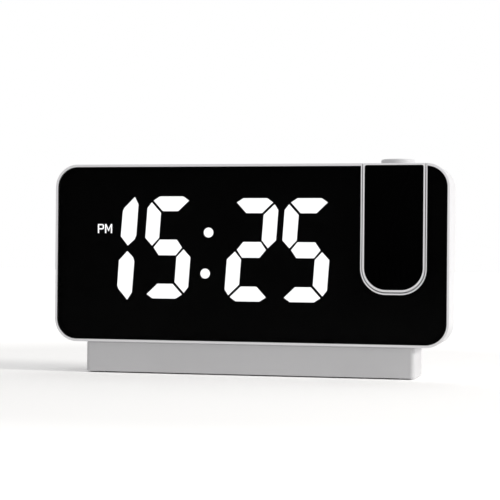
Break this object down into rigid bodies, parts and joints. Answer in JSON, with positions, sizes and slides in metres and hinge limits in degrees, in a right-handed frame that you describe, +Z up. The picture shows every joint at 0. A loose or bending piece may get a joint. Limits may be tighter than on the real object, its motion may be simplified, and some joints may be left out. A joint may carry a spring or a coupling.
{
  "type": "projection alarm clock",
  "caption": "Mirror-fronted digital alarm clock on a low base, with a projector arm that flips up from a well in its front.",
  "frame": {"origin": "middle of the clock's width and depth, at the surface that its feet rest on", "axes": "+X to the right of someone reading the display, which faces -Y; +Z up"},
  "size_m": [0.185, 0.031, 0.0998],
  "materials": {
    "white_plastic": "fine satin moulded ABS",
    "cover_plastic": "moulded ABS",
    "dark_mirror": "half-mirrored smoked acrylic",
    "reflector_plastic": "black-faced reflector moulding",
    "lit_diffuser": "lit white diffuser",
    "dark_diffuser": "unlit smoked diffuser",
    "led_package": "light-emitting diode",
    "circuit_board": "green solder resist",
    "black_plastic": "moulded nylon",
    "wheel_plastic": "knurled",
    "screw_steel": "zinc plated",
    "socket_steel": "nickel plated sheet",
    "hinge_steel": "turned",
    "foot_rubber": "soft pad",
    "lens_glass": "polished"
  },
  "bodies": {
    "case": {"ballast_plate": "screw_steel", "base_cover": "cover_plastic", "base_shell": "white_plastic", "board_chips": "black_plastic", "board_header": "black_plastic", "buzzer": "black_plastic", "case_screws": "screw_steel", "cell_door": "white_plastic", "cell_holder": "black_plastic", "coin_cell": "screw_steel", "cover_screws": "screw_steel", "dark_segments": "dark_diffuser", "display_board": "circuit_board", "display_screws": "screw_steel", "display_window": "dark_mirror", "door_screw": "screw_steel", "front_frame": "white_plastic", "key_switches": "black_plastic", "led_chips": "led_package", "lit_segments": "lit_diffuser", "main_board": "circuit_board", "main_screws": "screw_steel", "port_board": "circuit_board", "power_inlet": "socket_steel", "projector_well": "white_plastic", "rear_cover": "white_plastic", "rubber_feet": "foot_rubber", "segment_reflector": "reflector_plastic", "snooze_board": "circuit_board", "snooze_switch": "black_plastic", "stand_screws": "screw_steel", "usb_outlet": "socket_steel"},
    "arm": {"arm_shell": "white_plastic", "arm_plate": "dark_mirror", "arm_cover": "white_plastic", "arm_screws": "screw_steel", "hinge_pins": "hinge_steel", "hinge_washers": "hinge_steel", "lamp_house": "black_plastic", "lcd_slide": "lens_glass", "condenser_lens": "lens_glass", "lamp_board": "circuit_board", "projector_lamp": "led_package"},
    "focus_ring": {"focus_wheel": "wheel_plastic"},
    "lens_carrier": {"lens_cell": "black_plastic", "projection_lens": "lens_glass"},
    "snooze": {"snooze_button": "white_plastic"},
    "mode_button": {"mode_key": "white_plastic"},
    "up_button": {"up_key": "white_plastic"},
    "down_button": {"down_key": "white_plastic"},
    "alarm_button": {"alarm_key": "white_plastic"},
    "projector_button": {"projector_key": "white_plastic"}
  },
  "joints": [
    {"name": "arm_flip", "type": "hinge", "parent": "case", "child": "arm", "pos_m": [0.0673, -0.0121, 0.0938], "axis": [-1, 0, 0], "range_deg": [0, 180]},
    {"name": "focus_turn", "type": "hinge", "parent": "arm", "child": "focus_ring", "pos_m": [0.0673, -0.0073, 0.0482], "axis": [0, 0, 1], "range_deg": [-180, 180]},
    {"name": "lens_slide", "type": "slide", "parent": "arm", "child": "lens_carrier", "axis": [0, 0, 1], "range_m": [-0.001, 0.001]},
    {"name": "snooze_press", "type": "slide", "parent": "case", "child": "snooze", "axis": [0, 0, -1], "range_m": [0, 0.0008], "stiffness_N_per_m": 600, "springref_m": -0.0008},
    {"name": "mode_press", "type": "slide", "parent": "case", "child": "mode_button", "axis": [0, -1, 0], "range_m": [0, 0.0005], "stiffness_N_per_m": 600, "springref_m": -0.0008},
    {"name": "up_press", "type": "slide", "parent": "case", "child": "up_button", "axis": [0, -1, 0], "range_m": [0, 0.0005], "stiffness_N_per_m": 600, "springref_m": -0.0008},
    {"name": "down_press", "type": "slide", "parent": "case", "child": "down_button", "axis": [0, -1, 0], "range_m": [0, 0.0005], "stiffness_N_per_m": 600, "springref_m": -0.0008},
    {"name": "alarm_press", "type": "slide", "parent": "case", "child": "alarm_button", "axis": [0, -1, 0], "range_m": [0, 0.0005], "stiffness_N_per_m": 600, "springref_m": -0.0008},
    {"name": "projector_press", "type": "slide", "parent": "case", "child": "projector_button", "axis": [0, -1, 0], "range_m": [0, 0.0005], "stiffness_N_per_m": 600, "springref_m": -0.0008}
  ],
  "couplings": [
    {"joint": "focus_turn", "follows": "lens_slide", "rad_per_m": 3141.6}
  ]
}
